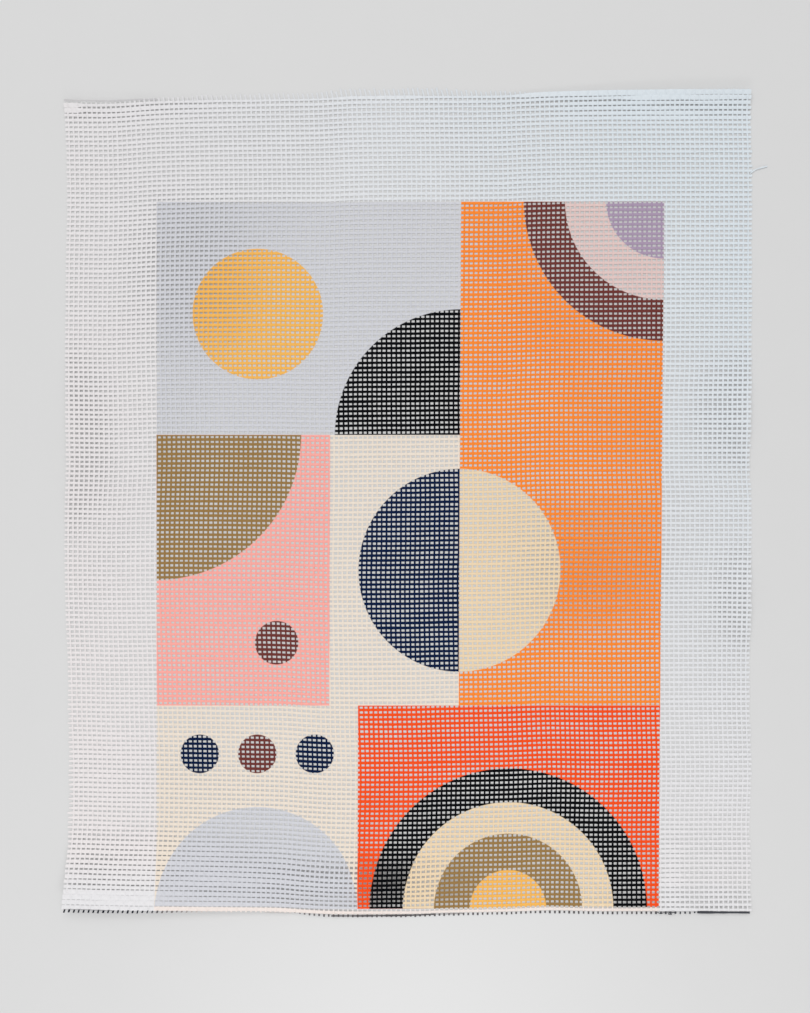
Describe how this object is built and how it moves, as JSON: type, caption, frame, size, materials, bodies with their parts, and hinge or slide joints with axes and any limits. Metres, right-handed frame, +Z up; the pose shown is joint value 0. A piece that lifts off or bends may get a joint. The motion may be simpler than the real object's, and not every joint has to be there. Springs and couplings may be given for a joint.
{
  "type": "needlepoint canvas panel",
  "caption": "Flat cut sheet of open woven needlepoint canvas with wide white margins around a printed geometric design, lying face up with slightly lifted cut ends.",
  "frame": {"origin": "middle of the panel's footprint, on the surface that it lies on", "axes": "+Z up through the cloth, out of its printed face; +Y towards the printed design's top edge; +X to the right as the design is seen"},
  "size_m": [0.2834, 0.341, 0.0084],
  "materials": {
    "canvas": "matt sized cotton mesh, undyed, with an ink-printed field"
  },
  "bodies": {
    "root": {"canvas_panel": "canvas"}
  },
  "joints": []
}
